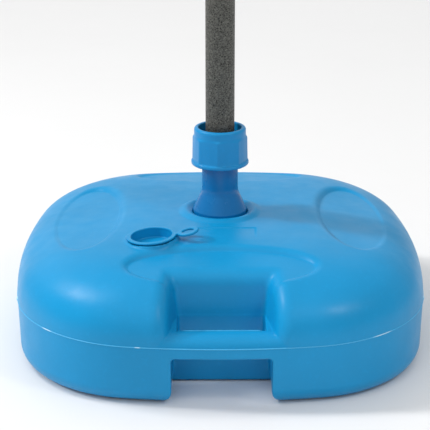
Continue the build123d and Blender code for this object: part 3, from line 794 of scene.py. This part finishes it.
def flash_plastic(name, colour, pale):
    """Plastic at the parting line, in a colour lightened as a painted highlight, whitened where the flash
    was cut away.
    """
    material, tree, shader = start_material(name)
    mark = add(tree, "Attribute", attribute_name="mark").outputs["Fac"]
    flecks = remap(tree, noise(tree, 350, 2), 0, 0.3, 0.5, 0.8)
    base = mixed(tree, flecks, shade(colour, 1.0), shade(colour, 1.4))
    body = mixed(tree, mark, base, pale)
    rough = remap(tree, noise(tree, 300, 2), 0.35, 0.5)
    finish_material(tree, shader, body, rough, bumped(tree, noise(tree, 900, 2), 0.0001))
    return material


def vein_coating(name, dark, light):
    """Silver-vein powder coat: a crinkled net of light veins over dark grey."""
    material, tree, shader = start_material(name)
    place = add(tree, "TexCoord").outputs["Object"]
    bend = add(tree, "TexNoise", {"Vector": place, "Scale": 420.0, "Detail": 2.0}).outputs["Color"]
    offset = add(tree, "VectorMath", {0: bend, 1: (0.5, 0.5, 0.5)}, operation="SUBTRACT").outputs["Vector"]
    offset = add(tree, "VectorMath", {0: offset, "Scale": 0.006}, operation="SCALE").outputs["Vector"]
    place = add(tree, "VectorMath", {0: place, 1: offset}, operation="ADD").outputs["Vector"]
    inputs = {"Vector": place, "Scale": 440.0, "Randomness": 1.0}
    cells = add(tree, "TexVoronoi", inputs, feature="DISTANCE_TO_EDGE").outputs["Distance"]
    vein = remap(tree, cells, 1, 0, 0.04, 0.34)
    patchy = remap(tree, noise(tree, 500, 2), 0.35, 1.0)
    vein = add(tree, "Math", {0: vein, 1: patchy}, operation="MULTIPLY").outputs["Value"]
    rough = remap(tree, vein, 0.55, 0.36, 0, 1)
    normal = bumped(tree, vein, 0.00025)
    shader.inputs["Metallic"].default_value = 0.35
    finish_material(tree, shader, mixed(tree, vein, dark, light), rough, normal)
    return material


def plain_finish(name, colour, roughness, metallic, grain, scale=700):
    """Rubber, nylon or plated steel: a mottled colour with fine grain."""
    material, tree, shader = start_material(name)
    body = mixed(tree, remap(tree, noise(tree, 120, 3), 0, 1), shade(colour, 0.85), shade(colour, 1.15))
    rough = remap(tree, noise(tree, 200, 3), roughness - 0.06, roughness + 0.08)
    shader.inputs["Metallic"].default_value = metallic
    finish_material(tree, shader, body, rough, bumped(tree, noise(tree, scale, 2), grain))
    return material


def floor_finish(name):
    """Pale seamless studio floor."""
    material, tree, shader = start_material(name)
    body = mixed(tree, noise(tree, 3, 2), (0.80, 0.80, 0.80, 1), (0.82, 0.82, 0.82, 1))
    rough = remap(tree, noise(tree, 20), 0.6, 0.7)
    finish_material(tree, shader, body, rough, bumped(tree, noise(tree, 400), 0.00005))
    return material


BASE_BLUE = (0.003, 0.262, 0.545)
NECK_BLUE = (0.002, 0.155, 0.400)
COLLAR_BLUE = (0.006, 0.235, 0.520)
# Flash blue, paler than the base blue as a painted highlight on the parting bead and the grip flash.
FLASH_BLUE_PAINTED_HIGHLIGHT = (0.050, 0.400, 0.700)
PALE_BLUE = (0.45, 0.72, 0.88, 1)

base_plastic = moulded_plastic("base_plastic", BASE_BLUE, 0.37, 0.00004, 0.0006)
neck_plastic = moulded_plastic("neck_plastic", NECK_BLUE, 0.24, 0.00001, 0.0001, 0.32)
collar_plastic = moulded_plastic("collar_plastic", COLLAR_BLUE, 0.36, 0.00002, 0.0002)
flash = flash_plastic("trimmed_flash", FLASH_BLUE_PAINTED_HIGHLIGHT, PALE_BLUE)
lip_flash = flash_plastic("lip_flash", FLASH_BLUE_PAINTED_HIGHLIGHT, PALE_BLUE)
coating = vein_coating("pole_coating", (0.010, 0.010, 0.009, 1), (0.17, 0.17, 0.15, 1))
rubber = plain_finish("seal_rubber", (0.02, 0.02, 0.02), 0.75, 0, 0.00005)
nylon = plain_finish("collet_plastic", (0.022, 0.022, 0.024), 0.5, 0, 0.00003)
cap_plastic = plain_finish("cap_plastic", (0.02, 0.02, 0.02), 0.48, 0, 0.00003)
zinc = plain_finish("fastener_steel", (0.60, 0.60, 0.61), 0.34, 1, 0.00001)
eye_zinc = plain_finish("eye_steel", (0.55, 0.55, 0.56), 0.38, 1, 0.00002)

# ---- The pieces on their bodies ----

BODY_OF = {node: body for body, nodes in frame["record"]["behaviour"]["bodies"].items() for node in nodes}


def stand_for(piece, node, material):
    """The piece takes the place of a CAD node."""
    piece.data.materials.clear()
    piece.data.materials.append(material)
    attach(piece, BODY_OF[node])
    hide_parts(node)


def go_with(piece, node, material):
    """The piece is a detail of a CAD node's body, with the node's finish."""
    piece.data.materials.append(material)
    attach(piece, BODY_OF[node])


stand_for(make_tank(), "tank_shell", base_plastic)
go_with(make_parting_bead(), "tank_shell", flash)
go_with(make_grip_flash(), "tank_shell", lip_flash)

plug_low, plug_high = box_mm("fill_plug")
stand_for(moulded("plug_skin", plug_form, plug_low, plug_high, PLUG_PITCH), "fill_plug", base_plastic)
stand_for(make_neck(), "neck_socket", neck_plastic)
collar = moulded("collar_skin", collar_form, COLLAR_LOW, COLLAR_HIGH, COLLAR_PITCH)
stand_for(collar, "locking_collar", collar_plastic)
for node, swaged in (("pole_lower", True), ("pole_middle", True), ("pole_upper", False)):
    stand_for(make_pole(node + "_tube", node, swaged), node, coating)
stand_for(make_top_cap(), "pole_top_cap", cap_plastic)
stand_for(moulded("eye_skin", eye_form, EYE_LOW, EYE_HIGH, EYE_PITCH), "swivel_eye", eye_zinc)

KEPT_NODES = {
    "neck_top_seal": rubber,
    "neck_bottom_seal": rubber,
    "neck_lock_nut": neck_plastic,
    "grip_collet": nylon,
    "thrust_ring": nylon,
    "pole_foot_cap": cap_plastic,
    "cap_screws": zinc,
    "swivel_bolt": zinc,
    "swivel_lower_washer": zinc,
    "swivel_upper_washer": zinc,
    "swivel_lock_nut": zinc,
}
for node, material in KEPT_NODES.items():
    slots = frame["nodes"][node].material_slots
    for index in range(len(slots)):
        slots[index].material = material

# ---- Camera, floor and light ----

CAMERA_PLACE = Vector((-0.0055, -1.4493, 0.6454))
CAMERA_PITCH = math.radians(19.73)
CAMERA_TURN = math.radians(-0.29)
FOCAL_LENGTH = 114.48
SENSOR = 36.0
FLOOR_HALF = 40.0


def make_camera():
    """Camera in front of the handle, looking down on the base."""
    data = bpy.data.cameras.new("camera")
    data.lens = FOCAL_LENGTH
    data.sensor_width = SENSOR
    camera = bpy.data.objects.new("camera", data)
    bpy.context.scene.collection.objects.link(camera)
    c, s = math.cos(CAMERA_TURN), math.sin(CAMERA_TURN)
    x, y, z = CAMERA_PLACE
    camera.location = (x * c - y * s, x * s + y * c, z)
    camera.rotation_euler = (math.pi / 2 - CAMERA_PITCH, 0, CAMERA_TURN)
    bpy.context.scene.camera = camera


def make_floor():
    """Pale level floor under the feet."""
    steps = 24
    line = np.linspace(-FLOOR_HALF, FLOOR_HALF, steps + 1) / MM
    xs, ys = np.meshgrid(line, line, indexing="ij")
    points = np.stack([xs.ravel(), ys.ravel(), 0 * xs.ravel()], 1)
    faces = []
    for i in range(steps):
        for j in range(steps):
            first = i * (steps + 1) + j
            faces.append((first, first + steps + 1, first + steps + 2, first + 1))
    floor = new_mesh("floor", points, faces)
    floor.data.materials.append(floor_finish("floor"))


def softbox(name, place, aim, width, height, power):
    """Rectangular studio light at a place, facing a point."""
    data = bpy.data.lights.new(name, "AREA")
    data.shape = "RECTANGLE"
    data.size = width
    data.size_y = height
    data.energy = power
    light = bpy.data.objects.new(name, data)
    light.location = place
    light.rotation_euler = (Vector(aim) - Vector(place)).to_track_quat("-Z", "Y").to_euler()
    light.visible_camera = False
    bpy.context.scene.collection.objects.link(light)


def sun(name, towards, strength, spread):
    """Distant light that shines in a direction, with its spread in degrees."""
    data = bpy.data.lights.new(name, "SUN")
    data.energy = strength
    data.angle = math.radians(spread)
    light = bpy.data.objects.new(name, data)
    light.rotation_euler = Vector(towards).to_track_quat("-Z", "Y").to_euler()
    light.visible_glossy = False
    bpy.context.scene.collection.objects.link(light)


def make_world(strength):
    """Even pale surroundings."""
    world = bpy.data.worlds.new("studio")
    world.use_nodes = True
    background = world.node_tree.nodes["Background"]
    background.inputs["Color"].default_value = (1.0, 1.0, 1.0, 1)
    background.inputs["Strength"].default_value = strength
    bpy.context.scene.world = world


make_camera()
make_floor()
make_world(0.44)
middle = (0, 0, 0.1)
sun("key", (0.84, -0.10, -0.53), 1.45, 6)
sun("overhead", (0.1, 0.0, -1), 0.5, 70)
sun("front", (0.1, 0.75, -0.66), 0.6, 60)
softbox("backdrop", (-0.6, 3.2, 1.5), middle, 4.5, 2.2, 10)
softbox("left", (-1.25, 0.2, 1.65), middle, 0.4, 0.4, 12)
softbox("right", (1.05, -0.85, 1.5), middle, 0.3, 0.3, 5)
bpy.context.scene.view_settings.view_transform = "Standard"
